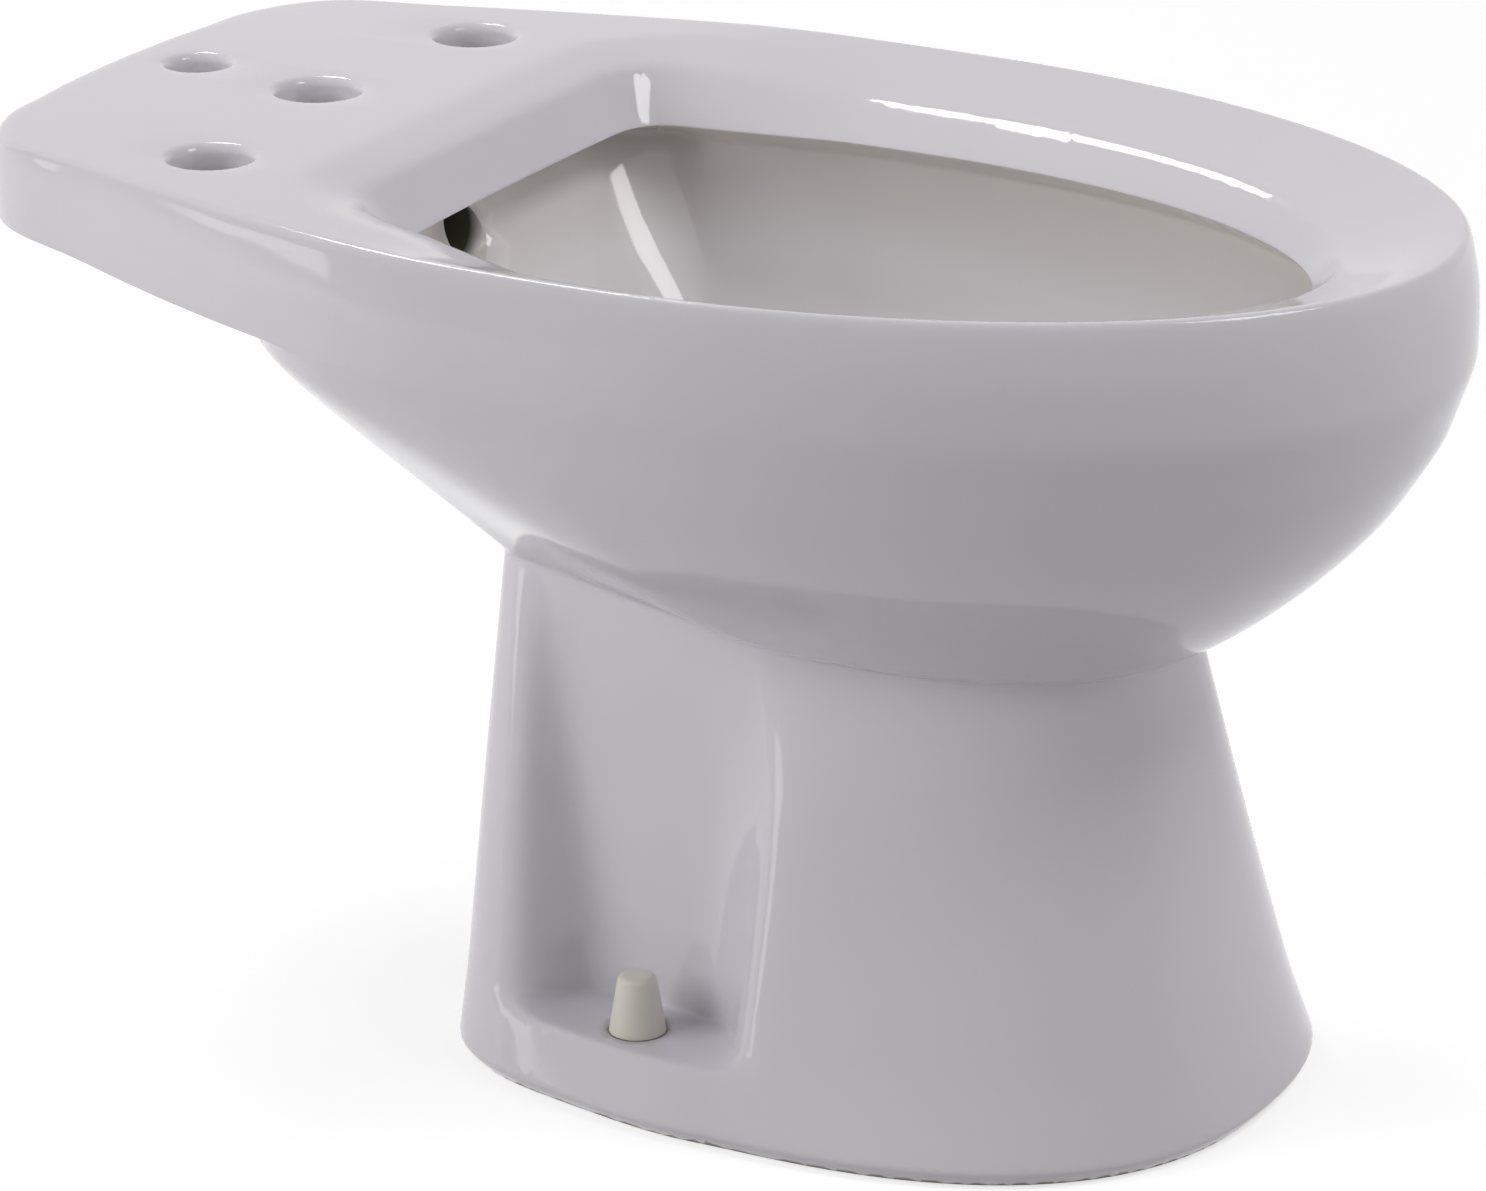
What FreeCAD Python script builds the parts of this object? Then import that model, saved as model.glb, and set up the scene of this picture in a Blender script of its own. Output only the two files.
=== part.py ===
# Floor-standing bidet: one vitreous china casting, its floor fixings and its pop-up waste.
# Millimetres, +Z up. The origin is on the floor under the middle of the casting,
# the deck with the tap holes is towards +Y and the nose towards -Y.
import FreeCAD, Part
import math
import os
import re
import Sketcher
from FreeCAD import Placement, Rotation, Vector

doc = FreeCAD.newDocument("bidet")
sheet = doc.addObject("Spreadsheet::Sheet", "Sizes")
# The driving dimensions, each written once
SIZES = {
    # Casting, seen from above: the rim's outline
    "overall_length": 607.0,
    "overall_width": 370.0,
    "overall_height": 365.0,
    "rim_widest": 6.0,
    "deck_width": 239.0,
    "deck_corner": 30.0,
    "deck_bow": 13.0,
    # Casting: the deck, its skirt and the bulge of the rim
    "skirt_depth": 43.0,
    "skirt_depth_rear": 34.0,
    "deck_thickness": 14.0,
    "skirt_edge_radius": 5.0,
    "bulge_drop": 36.0,
    "bulge_spread": 14.0,
    "rim_draft_rear": 1.0,
    "rim_draft_nose": 5.0,
    "rim_edge_radius": 11.0,
    "wall": 12.0,
    "hollow_corner_radius": 4.0,
    "hollow_ceiling_radius": 10.0,
    # Casting: the dish inside the rim and the lip of the bowl
    "shoulder_width": 22.0,
    "shoulder_radius": 14.0,
    "dish_setback": 182.5,
    "dish_rear_width": 236.0,
    "dish_corner": 34.0,
    "dish_width": 274.0,
    "dish_widest": 10.0,
    "dish_nose_margin": 54.0,
    "dish_drop_rear": 6.0,
    "dish_drop_side": 15.0,
    "dish_edge_radius": 7.0,
    "lip_inset_end": 11.0,
    "lip_inset_side": 20.0,
    "lip_drop": 28.0,
    "lip_edge_radius": 3.0,
    "lip_thickness": 9.0,
    "lip_overhang": 13.0,
    "lip_overhang_rear": 30.0,
    "lip_root_radius": 7.0,
    # Casting: the floor of the bowl round the waste
    "seat_height": 197.0,
    "seat_radius": 37.0,
    "seat_flat_margin": 2.0,
    "seat_depth": 5.5,
    "seat_edge": 4.0,
    "floor_thickness": 18.0,
    "drain_setback": 17.0,
    "drain_hole_radius": 22.5,
    "drain_cap_margin": 2.0,
    # Casting: the hull under the rim and the neck where it meets the pedestal
    "hull_setback": 143.5,
    "hull_corner": 65.0,
    "hull_drop": 6.0,
    "hull_root_radius": 3.0,
    "hull_start_softness": 40.0,
    "neck_height_front": 189.0,
    "neck_height_rear": 204.0,
    "neck_rear": 86.0,
    "neck_rear_width": 128.0,
    "neck_corner": 22.0,
    "neck_width": 152.0,
    "neck_widest": 66.0,
    "neck_nose": 192.0,
    "neck_radius": 9.0,
    # Casting: the foot, its ledges for the floor bolts and the side panels above them
    "foot_rear": 93.0,
    "foot_rear_width": 238.0,
    "foot_corner": 58.0,
    "foot_width": 287.0,
    "foot_widest": 61.0,
    "foot_nose": 242.0,
    "foot_edge_radius": 6.0,
    "ledge_height": 30.0,
    "ledge_edge_radius": 5.0,
    "panel_width": 172.0,
    "panel_rear_width": 150.0,
    "panel_root_radius": 7.0,
    "ridge_rise": 8.0,
    "fixing_seat_depth": 0.4,
    "fixing_seat_margin": 1.0,
    # Holes in the casting
    "valve_spacing": 203.2,
    "valve_setback": 115.5,
    "valve_hole_radius": 16.5,
    "spout_setback": 101.5,
    "spout_hole_radius": 17.0,
    "rod_offset": 11.0,
    "rod_setback": 35.5,
    "rod_hole_radius": 12.7,
    "hole_edge_radius": 4.0,
    "overflow_radius": 13.0,
    "overflow_drop": 52.0,
    "overflow_reach": 27.0,
    "pocket_setback": 142.5,
    "pocket_depth": 75.0,
    "pocket_edge_radius": 8.0,
    "back_opening_width": 92.0,
    "back_opening_height": 166.0,
    # Floor fixings
    "bolt_spacing": 216.0,
    "bolt_setback": -7.0,
    "bolt_hole_radius": 6.5,
    "bolt_radius": 3.2,
    "bolt_head_length": 18.0,
    "bolt_head_width": 9.0,
    "bolt_head_thickness": 4.0,
    "bolt_floor_gap": 0.5,
    "bolt_end": 16.0,
    "retainer_radius": 9.0,
    "retainer_thickness": 2.0,
    "bolt_washer_radius": 7.0,
    "bolt_washer_thickness": 1.6,
    "bolt_nut_radius": 6.4,
    "bolt_nut_height": 5.5,
    "cap_base_radius": 11.6,
    "cap_top_radius": 7.6,
    "cap_height": 24.0,
    "cap_wall": 1.8,
    "cap_edge_radius": 3.0,
    # Clearances
    "thread_clearance": 0.2,
    "running_gap": 0.3,
    # Pop-up waste: body, seals and lock nut
    "flange_radius": 31.0,
    "flange_thickness": 3.5,
    "flange_seal_thickness": 2.0,
    "shank_radius": 20.8,
    "shank_length": 92.0,
    "waste_bore_radius": 14.6,
    "throat_radius": 20.2,
    "throat_depth": 2.0,
    "gasket_radius": 30.0,
    "gasket_thickness": 10.0,
    "gasket_taper": 3.0,
    "friction_washer_thickness": 1.5,
    "lock_nut_radius": 32.0,
    "lock_nut_height": 12.0,
    # Pop-up waste: outlet tube
    "tube_radius": 15.875,
    "tube_wall": 1.2,
    "tube_length": 80.0,
    "spigot_step": 0.3,
    "socket_depth": 20.0,
    "slip_seal_thickness": 3.0,
    "slip_nut_radius": 25.0,
    "slip_nut_grip": 8.0,
    "slip_nut_lip": 3.0,
    # Pop-up waste: plug
    "plug_radius": 19.6,
    "plug_height": 5.5,
    "plug_edge": 3.0,
    "plug_edge_radius": 1.5,
    "plug_seal_radius": 18.6,
    "plug_seal_thickness": 1.6,
    "stem_radius": 4.5,
    "eye_radius": 3.0,
    "eye_drop": 74.0,
    "eye_margin": 6.0,
    "eye_width": 13.0,
    "eye_thickness": 4.0,
    # Pop-up waste: pivot rod and its port
    "pivot_reach": 27.0,
    "pivot_tilt": 10.0,
    "rod_radius": 2.4,
    "rod_tip": 6.0,
    "rod_length": 58.0,
    "ball_radius": 6.5,
    "port_radius": 9.5,
    "port_window_radius": 5.2,
    "pivot_seat_thickness": 3.0,
    "pivot_nut_radius": 13.0,
    "pivot_nut_lip": 3.0,
    "pivot_nut_grip": 9.0,
}
for row, (alias, value) in enumerate(SIZES.items(), 1):
    sheet.set("A%d" % row, alias)
    sheet.set("B%d" % row, str(value))
    sheet.setAlias("B%d" % row, alias)
doc.recompute()


def mm(alias):
    """The value of one driving dimension."""
    return float(sheet.get(alias))


def tied(formula):
    """The formula with each size's name pointing to its cell."""
    return re.sub(r"[a-z_]+", lambda word: ("Sizes." if word[0] in SIZES else "") + word[0], formula)


def worth(formula):
    """The formula's value with the sizes as they are now."""
    return float(sheet.evalExpression(tied(formula)))


# The casting's skin
# The skin is a cage of closed rings, each with the same columns: along the rear edge, round the
# rear corner, down the flank and round the nose, and mirrored about X = 0.
REAR_STEPS = 4
CORNER_STEPS = 6
FLANK_STEPS = 6
NOSE_STEPS = 11
CORNER_END = REAR_STEPS + CORNER_STEPS
FLANK_END = CORNER_END + FLANK_STEPS
HALF = FLANK_END + NOSE_STEPS
columns = list(range(HALF + 1))

# How full each outline is at its nose: 2 is an ellipse and more is squarer
RIM_FULLNESS = 2.02
DISH_FULLNESS = 1.95
NECK_FULLNESS = 2.6
FOOT_FULLNESS = 2.4
POCKET_FULLNESS = 5.0
# How fast the hull turns under, and how much of the pedestal's flare is near its base
HULL_ROUNDNESS = 1.38
PEDESTAL_FLARE = 0.85
# How near the bowl's rear wall is to a straight slope
BOWL_STRAIGHTNESS = 0.75
# Turns of the hull's rings from the neck up, and their shares of the straight slope under the deck
HULL_TURNS = (72.0, 53.0, 38.0, 22.0)
HULL_ACROSS = (0.74, 0.36, 0.07, 0.0)
HULL_DOWN = (0.76, 0.42, 0.14, 0.0)
# Turns of the bowl's rings from its top down
BOWL_TURNS = (25.0, 46.0, 66.0)
# Shares of the skirt's depth at which its rings lie at the rear
SKIRT_SHARES = (1.0, 0.75, 0.5)
# Shares of the radii by which the edges of the foot and of the waste's seat are softened
FOOT_SOFTNESS = 0.7
SEAT_RIM_SOFTNESS = 0.5
SEAT_ROOT_SOFTNESS = 0.4
# The largest share of a wall that a softened edge or the rim's shoulder takes up
LARGEST_SHARE = 0.45
# How many bands the outer skin is cut into
SKIN_BANDS = 6
# How finely a path is sampled, and how often a spline's poles are corrected
PATH_STEPS = 60
POLE_ROUNDS = 40
# How closely the columns crowd towards the ends of the niches in the pedestal's sides
NICHE_CROWDING = 0.6
# Columns by which a niche starts before the flank and ends before the nose, and over which it fades
NICHE_START_LEAD = 0.4
NICHE_START_FADE = 1.6
NICHE_END_LEAD = 1.9
NICHE_END_FADE = 1.5


def ease(share):
    """A smooth step from 0 to 1."""
    share = min(max(share, 0.0), 1.0)
    return share * share * (3.0 - 2.0 * share)


def mix(start, end, share):
    return start + (end - start) * share


def bezier(points, share):
    while len(points) > 1:
        points = [mix(a, b, share) for a, b in zip(points, points[1:])]
    return points[0]


def sampled(path):
    """Close points along a path given as a function of a share from 0 to 1."""
    return [path(index / PATH_STEPS) for index in range(PATH_STEPS + 1)]


def spaced(points, steps, crowding=0.0):
    """Points at equal distances along a line, or crowded towards its ends. The end itself is left out."""
    travel = [0.0]
    for a, b in zip(points, points[1:]):
        travel.append(travel[-1] + (b - a).Length)
    chosen = []
    for step in range(steps):
        share = step / steps
        goal = travel[-1] * (share - crowding * math.sin(2.0 * math.pi * share) / (2.0 * math.pi))
        index = max(i for i in range(len(points) - 1) if travel[i] <= goal + 1e-9)
        left = (goal - travel[index]) / (travel[index + 1] - travel[index])
        chosen.append(mix(points[index], points[index + 1], left))
    return chosen


# How far along a flank the outline starts to curve in, and how far it runs straight behind that
FLANK_SHOULDER = 0.28
FLANK_REACH = 0.6


def stretches(rear, rear_width, corner, width, wide_at, nose, fullness, bow=0.0):
    """Half of a bidet-shaped outline as four lines of points: its rear edge, corner, flank and nose."""
    rear_half = 0.5 * rear_width
    wide_half = 0.5 * width
    tip = Vector(rear_half, rear - bow, 0)
    wide = Vector(wide_half, wide_at, 0)
    shoulder = wide + Vector(0, FLANK_SHOULDER * (rear - wide_at), 0)
    along = (shoulder - tip).normalize()
    rear_end = rear_half - corner
    corner_start = Vector(rear_end, rear - bow * (rear_end / rear_half) ** 2, 0)
    flank_start = tip + along * corner
    reach = along * (FLANK_REACH * (rear - wide_at))

    def rear_edge(share):
        x = rear_end * share
        return Vector(x, rear - bow * (x / rear_half) ** 2, 0)

    def rear_corner(share):
        return bezier([corner_start, tip, flank_start], share)

    def flank(share):
        return bezier([flank_start, flank_start + reach, shoulder, wide], share)

    def front(share):
        angle = 0.5 * math.pi * share
        x = wide_half * max(math.cos(angle), 0.0) ** (2.0 / fullness)
        return Vector(x, wide_at - (wide_at - nose) * math.sin(angle) ** (2.0 / fullness), 0)

    return [sampled(path) for path in (rear_edge, rear_corner, flank, front)]


def cut_at(flank, y):
    """A flank's points behind and in front of a place along it. The point there is in both."""
    behind = [point for point in flank if point.y > y]
    first, second = behind[-1], flank[len(behind)]
    at = mix(first, second, (first.y - y) / (first.y - second.y))
    return behind + [at], [at] + flank[len(behind):]


def outline(lines, crowding=0.0):
    """One point for each column along the four lines of a half outline."""
    rear_edge, corner, flank, front = lines
    points = spaced(rear_edge, REAR_STEPS) + spaced(corner, CORNER_STEPS)
    points += spaced(flank, FLANK_STEPS, crowding) + spaced(front, NOSE_STEPS)
    return points + front[-1:]


def circle(radius, middle):
    """Half of a round outline with the same columns."""
    angles = [math.pi * column / HALF for column in columns]
    return [Vector(radius * math.sin(a), middle + radius * math.cos(a), 0) for a in angles]


def inset(points, distances):
    """The outline moved inwards, square to itself, by one distance or by one for each column."""
    if not isinstance(distances, list):
        distances = [distances] * len(points)
    moved = []
    for column, point in enumerate(points):
        before = points[column - 1] if column else Vector(-points[1].x, points[1].y, 0)
        last = column == len(points) - 1
        after = Vector(-points[-2].x, points[-2].y, 0) if last else points[column + 1]
        along = (after - before).normalize()
        moved.append(point + Vector(along.y, -along.x, 0) * distances[column])
    return moved


def merge(rear_points, front_points, shares):
    """One outline that follows the first where the share is 0 and the second where it is 1."""
    return [mix(a, b, share) for a, b, share in zip(rear_points, front_points, shares)]


def raised(points, heights):
    """The outline lifted to a height, or to one height for each column."""
    if not isinstance(heights, list):
        heights = [heights] * len(points)
    return [Vector(point.x, point.y, height) for point, height in zip(points, heights)]


def between(rear_value, front_value, shares):
    return [mix(rear_value, front_value, share) for share in shares]


def mirrored(half_ring):
    """The whole ring of a half one. It starts on a flank, where no hole meets the seam."""
    ring = half_ring + [Vector(-p.x, p.y, p.z) for p in half_ring[-2:0:-1]]
    return ring[FLANK_END:] + ring[:FLANK_END]


def closed_poles(half_ring):
    """Poles of the closed cubic spline through the mirrored ring, seen from above, at its own heights."""
    ring = mirrored(half_ring)
    poles = list(ring)
    for _ in range(POLE_ROUNDS):
        sides = zip(poles[-1:] + poles[:-1], poles, poles[1:] + poles[:1])
        curve = [(before + pole * 4.0 + after) * (1.0 / 6.0) for before, pole, after in sides]
        poles = [pole + point - at for pole, point, at in zip(poles, ring, curve)]
    return [Vector(pole.x, pole.y, point.z) for pole, point in zip(poles, ring)]


def softened(cage):
    """The cage's rings with each soft ring spread over three, along the walls on either side."""
    spread = []
    for index, (ring, softness, is_loose) in enumerate(cage):
        if not softness:
            spread.append((ring, is_loose))
            continue
        if not isinstance(softness, list):
            softness = [softness] * len(ring)
        for neighbour in (cage[index - 1][0], ring, cage[index + 1][0]):
            near = []
            for point, other, soft in zip(ring, neighbour, softness):
                leg = other - point
                step = min(soft, LARGEST_SHARE * leg.Length)
                near.append(point + leg * (step / max(leg.Length, 1e-6)))
            spread.append((near, is_loose))
    return spread


def tight(ring, softness=0.0):
    """A ring that the skin passes through, seen from above."""
    return ring, softness, False


def loose(ring, softness=0.0):
    """A ring that the skin follows more smoothly, so that a sharp turn in it makes no ripples."""
    return ring, softness, True


def skin_solid(name, cage, bands=1):
    """A closed solid from the cage: cubic both ways, with a flat end on its first and last rings.

    The skin is cut into bands, and each band at the flanks, because smaller faces make sounder cuts."""
    rings = softened(cage)
    poles = [mirrored(ring) if is_loose else closed_poles(ring) for ring, is_loose in rings]
    count = len(poles[0])
    travel = [0.0]
    for (low, _), (high, _) in zip(rings, rings[1:]):
        step = sum((b - a).Length for a, b in zip(low, high)) / len(low)
        travel.append(travel[-1] + max(step, 1.0))
    knots = [0.0] + travel[2:-2] + [travel[-1]]
    surface = Part.BSplineSurface()
    surface.buildFromPolesMultsKnots(
        [[ring[column] for ring in poles] for column in range(count)],
        [1] * (count + 1),
        [4] + [1] * (len(knots) - 2) + [4],
        [float(column) for column in range(count + 1)],
        knots,
        True,
        False,
        3,
        3,
    )
    rows = [round(band * (len(knots) - 1) / bands) for band in range(bands + 1)]
    faces = []
    for low, high in zip(rows, rows[1:]):
        for start, end in ((0, 2 * NOSE_STEPS), (2 * NOSE_STEPS, count)):
            patch = surface.copy()
            patch.segment(start, end, knots[low], knots[high])
            faces.append(patch.toShape())
    for height in (rings[0][0][0].z, rings[-1][0][0].z):
        level = [edge for face in faces for edge in face.Edges
                 if abs(edge.BoundBox.ZMin - height) < 1e-4 and edge.BoundBox.ZLength < 1e-4]
        faces.append(Part.Face(Part.Wire(Part.__sortEdges__(level))))
    shell = Part.Compound(faces)
    shell.sewShape()
    solid = doc.addObject("Part::Feature", name)
    solid.Shape = Part.Solid(shell.Shells[0])
    return solid


half_length = 0.5 * mm("overall_length")
dish_rear = half_length - mm("dish_setback")
hull_rear = half_length - mm("hull_setback")
valves_at = half_length - mm("valve_setback")
pocket_front = half_length - mm("pocket_setback")
top = mm("overall_height")
ledge = mm("ledge_height")
seat = mm("seat_height")
wall = mm("wall")
drain_at = mm("drain_setback")
under_floor = seat - mm("floor_thickness")
wide_at = -mm("rim_widest")
# 0 along the rear edge, 1 where the hull comes out under the deck
deepening = [ease((column - REAR_STEPS) / (CORNER_STEPS - 1)) for column in columns]
# 1 at the rear, where the deck overhangs the hull, and 0 from the start of the flank
overhang = [1.0 - ease((column - REAR_STEPS - 1) / CORNER_STEPS) for column in columns]
# 1 where the hull slopes straight down to the neck, 0 where it is round
sloping = [1.0 - ease((column - CORNER_END + 1) / (FLANK_STEPS + 1)) for column in columns]
# 0 round the rear, 1 in front of the widest point, where the neck is lower
lower = [ease((column - CORNER_END) / FLANK_STEPS) for column in columns]
# 0 along the rear, 1 from the widest point to the nose
forward = [ease((column - REAR_STEPS) / (FLANK_END - REAR_STEPS)) for column in columns]
# 0 where the deck is level, 1 where the rim falls towards the dish
falling = [ease((column - CORNER_END + 1) / FLANK_STEPS) for column in columns]
# 1 in the niches of the pedestal's sides, 0 on the posts behind them and on the ridges in front
niche_start = [ease((column - CORNER_END + NICHE_START_LEAD) / NICHE_START_FADE) for column in columns]
niche_end = [ease((column - FLANK_END + NICHE_END_LEAD) / NICHE_END_FADE) for column in columns]
niche = [start * (1.0 - end) for start, end in zip(niche_start, niche_end)]
# 1 along the sides, 0 at the rear and at the nose
sides = [math.sin(math.pi * column / HALF) ** 2 for column in columns]

# Outlines of the rim and the hull, which is flush with the rim in front of its own rear corners
rim_lines = stretches(half_length, mm("deck_width"), mm("deck_corner"), mm("overall_width"),
                      wide_at, -half_length, RIM_FULLNESS, mm("deck_bow"))
hull_behind, hull_flank = cut_at(rim_lines[2], hull_rear - mm("hull_corner"))
hull_tip = cut_at(rim_lines[2], hull_rear)[1][0]
hull_edge = Vector(hull_tip.x - mm("hull_corner"), hull_tip.y, 0)
hull_corner = sampled(lambda share: bezier([hull_edge, hull_tip, hull_flank[0]], share))
hull_back = sampled(lambda share: Vector(hull_edge.x * share, hull_tip.y, 0))
rim = outline([rim_lines[0], rim_lines[1] + hull_behind[1:], hull_flank, rim_lines[3]])
rim_top = inset(rim, between(mm("rim_draft_rear"), mm("rim_draft_nose"), forward))
hull_start = outline([hull_back, hull_corner, hull_flank, rim_lines[3]])

# Outlines of the pedestal's neck, its foot and the panels at the back of its niches
neck = outline(stretches(mm("neck_rear"), mm("neck_rear_width"), mm("neck_corner"), mm("neck_width"),
                         -mm("neck_widest"), -mm("neck_nose"), NECK_FULLNESS), NICHE_CROWDING)
foot = outline(stretches(mm("foot_rear"), mm("foot_rear_width"), mm("foot_corner"), mm("foot_width"),
                         -mm("foot_widest"), -mm("foot_nose"), FOOT_FULLNESS), NICHE_CROWDING)
panel = outline(stretches(mm("foot_rear"), mm("panel_rear_width"), mm("foot_corner"), mm("panel_width"),
                          -mm("foot_widest"), -mm("foot_nose"), FOOT_FULLNESS), NICHE_CROWDING)

# Outlines of the dish, the lip and the bowl
dish = outline(stretches(dish_rear, mm("dish_rear_width"), mm("dish_corner"), mm("dish_width"),
                         -mm("dish_widest"), mm("dish_nose_margin") - half_length, DISH_FULLNESS))
lip = inset(dish, between(mm("lip_inset_end"), mm("lip_inset_side"), sides))
bowl_top = inset(lip, between(-mm("lip_overhang"), -mm("lip_overhang_rear"), overhang))
bowl_end = circle(mm("seat_radius") + mm("seat_edge"), drain_at)

neck_heights = between(mm("neck_height_rear"), mm("neck_height_front"), lower)
lip_height = top - mm("lip_drop")
bowl_top_height = lip_height - mm("lip_thickness")
hull_start_heights = between(top - mm("skirt_depth") - mm("hull_drop"), top - mm("skirt_depth"), overhang)


def wall_at(height):
    """The pedestal's wall at a height, on a hollow curve from the foot up to the neck."""
    points = []
    for foot_point, neck_point, neck_height in zip(foot, neck, neck_heights):
        points.append(mix(foot_point, neck_point, (height / neck_height) ** PEDESTAL_FLARE))
    return points


foot_edge = wall_at(mm("foot_edge_radius"))
niche_heights = between(ledge + mm("ridge_rise"), ledge, niche)
pedestal_base = merge(wall_at(ledge + mm("ridge_rise")), panel, niche)
panel_middle = merge(panel, neck, [0.5] * len(columns))
pedestal_middle = merge(wall_at(0.5 * mm("neck_height_front")), panel_middle, niche)


def hull_ring(angle, rear_across, rear_down):
    """A ring of the hull: on a rounded curve in front, at stated shares of the slope under the deck."""
    inwards = 1.0 - math.cos(math.radians(angle)) ** HULL_ROUNDNESS
    downwards = math.sin(math.radians(angle)) ** HULL_ROUNDNESS
    across = between(inwards, rear_across, sloping)
    down = between(downwards, rear_down, sloping)
    heights = [mix(a, b, share) for a, b, share in zip(hull_start_heights, neck_heights, down)]
    return raised(merge(hull_start, neck, across), heights)


def bowl_ring(angle):
    """A ring of the bowl: on a quarter of an ellipse in front, nearer a straight slope at the rear."""
    straight = [BOWL_STRAIGHTNESS * share for share in overhang]
    even = angle / 90.0
    across = between(1.0 - math.cos(math.radians(angle)), even, straight)
    down = between(math.sin(math.radians(angle)), even, straight)
    heights = [mix(bowl_top_height, seat + mm("seat_depth"), share) for share in down]
    return raised(merge(bowl_top, bowl_end, across), heights)


# The rim's top: level at the deck, falling to the dish along the sides
shoulder = []
shoulder_heights = []
dish_heights = between(top - mm("dish_drop_rear"), top - mm("dish_drop_side"), falling)
for column in columns:
    gap = (dish[column] - rim_top[column]).Length
    share = 1.0 - min(mm("shoulder_width") / gap, LARGEST_SHARE)
    shoulder.append(mix(rim_top[column], dish[column], share))
    shoulder_heights.append(top - falling[column] * share * mm("dish_drop_side"))

skirt_depths = between(mm("skirt_depth_rear"), mm("skirt_depth"), deepening)


def skirt_ring(share, bulge):
    """The rim at a share of the skirt's depth at the rear, and at a distance below the bulge in front."""
    front = top - mm("bulge_drop") - bulge
    heights = [mix(top - share * depth, front, along) for depth, along in zip(skirt_depths, forward)]
    return raised(rim, heights)


skirt_softness = between(mm("skirt_edge_radius"), mm("bulge_spread"), forward)
hull_softness = between(mm("hull_start_softness"), mm("hull_root_radius"), overhang)
hull_rings = [hull_ring(*where) for where in zip(HULL_TURNS, HULL_ACROSS, HULL_DOWN)]
skirt_bulges = (mm("bulge_spread"), 0.0, -mm("bulge_spread"))
skirt_rings = [skirt_ring(*where) for where in zip(SKIRT_SHARES, skirt_bulges)]
bowl_rings = [bowl_ring(turn) for turn in BOWL_TURNS]
casting_blank = skin_solid("casting_blank", [
    loose(raised(inset(foot_edge, mm("foot_edge_radius")), 0.0)),
    loose(raised(foot_edge, mm("foot_edge_radius")), FOOT_SOFTNESS * mm("foot_edge_radius")),
    loose(raised(wall_at(ledge), ledge), mm("ledge_edge_radius")),
    loose(raised(pedestal_base, niche_heights), mm("panel_root_radius")),
    loose(raised(pedestal_middle, [0.5 * height for height in neck_heights])),
    loose(raised(neck, neck_heights), mm("neck_radius")),
    loose(hull_rings[0]),
    loose(hull_rings[1]),
    tight(hull_rings[2]),
    tight(hull_rings[3], hull_softness),
    tight(skirt_rings[0], skirt_softness),
    tight(skirt_rings[1]),
    tight(skirt_rings[2]),
    tight(raised(rim_top, top), mm("rim_edge_radius")),
    tight(raised(shoulder, shoulder_heights), mm("shoulder_radius")),
    tight(raised(dish, dish_heights), mm("dish_edge_radius")),
    tight(raised(lip, lip_height), mm("lip_edge_radius")),
    tight(raised(bowl_top, bowl_top_height), mm("lip_root_radius")),
    tight(bowl_rings[0]),
    tight(bowl_rings[1]),
    tight(bowl_rings[2]),
    tight(raised(bowl_end, seat + mm("seat_depth")), SEAT_RIM_SOFTNESS * mm("seat_edge")),
    tight(raised(circle(mm("seat_radius"), drain_at), seat), SEAT_ROOT_SOFTNESS * mm("seat_edge")),
    tight(raised(circle(mm("flange_radius") + mm("seat_flat_margin"), drain_at), seat)),
    tight(raised(circle(mm("drain_hole_radius") + mm("drain_cap_margin"), drain_at), seat)),
], SKIN_BANDS)

# Hollow of the pedestal, open to the floor
pedestal_hollow = skin_solid("pedestal_hollow", [
    loose(raised(inset(foot, wall), -wall)),
    loose(raised(inset(foot, wall), ledge - wall), mm("hollow_corner_radius")),
    loose(raised(inset(pedestal_base, wall), ledge - wall), mm("hollow_corner_radius")),
    loose(raised(inset(neck, wall), under_floor - wall), mm("hollow_ceiling_radius")),
    loose(raised(circle(mm("gasket_radius") + wall, drain_at), under_floor), mm("hollow_corner_radius")),
    loose(raised(circle(mm("drain_hole_radius") + mm("drain_cap_margin"), drain_at), under_floor)),
])


# Pocket under the deck, where the tap nuts are reached from below
def half_width_at(points, y):
    """The half width of an outline at a place along its flank."""
    for rear_point, front_point in zip(points[REAR_STEPS:], points[REAR_STEPS + 1:]):
        if rear_point.y >= y >= front_point.y:
            return mix(rear_point.x, front_point.x, (rear_point.y - y) / (rear_point.y - front_point.y))
    return points[REAR_STEPS].x


pocket_width = 2.0 * (half_width_at(rim, valves_at) - wall)
pocket_rear_width = mm("deck_width") - 2.0 * wall
pocket_corner = mm("deck_corner") - 0.5 * wall
pocket = outline(stretches(half_length - wall, pocket_rear_width, pocket_corner, pocket_width,
                           valves_at, pocket_front, POCKET_FULLNESS, mm("deck_bow")))
pocket_ceiling = top - mm("deck_thickness")
deck_pocket = skin_solid("deck_pocket", [
    tight(raised(pocket, pocket_ceiling - mm("pocket_depth"))),
    tight(raised(pocket, pocket_ceiling), mm("pocket_edge_radius")),
    tight(raised(inset(pocket, mm("pocket_edge_radius") + wall * 0.5), pocket_ceiling)),
])


# Solids with sizes bound to the sheet
TO_PLUS_Y = Rotation(Vector(1, 0, 0), -90)


def placed(solid, base, rotation=Rotation()):
    """Turns a solid and binds its place to three formulas."""
    solid.Placement = Placement(Vector(), rotation)
    for axis, formula in zip("xyz", base):
        solid.setExpression("Placement.Base." + axis, tied(formula))
    return solid


def sized(kind, name, base, rotation=Rotation(), **formulas):
    """A primitive with each of its properties bound to a formula."""
    solid = doc.addObject(kind, name)
    for key, formula in formulas.items():
        solid.setExpression(key, tied(formula))
    return placed(solid, base, rotation)


def cylinder(name, radius, height, base, rotation=Rotation()):
    return sized("Part::Cylinder", name, base, rotation, Radius=radius, Height=height)


def hexagon(name, radius, height, base, rotation=Rotation()):
    solid = sized("Part::Prism", name, base, rotation, Circumradius=radius, Height=height)
    solid.Polygon = 6
    return solid


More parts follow.
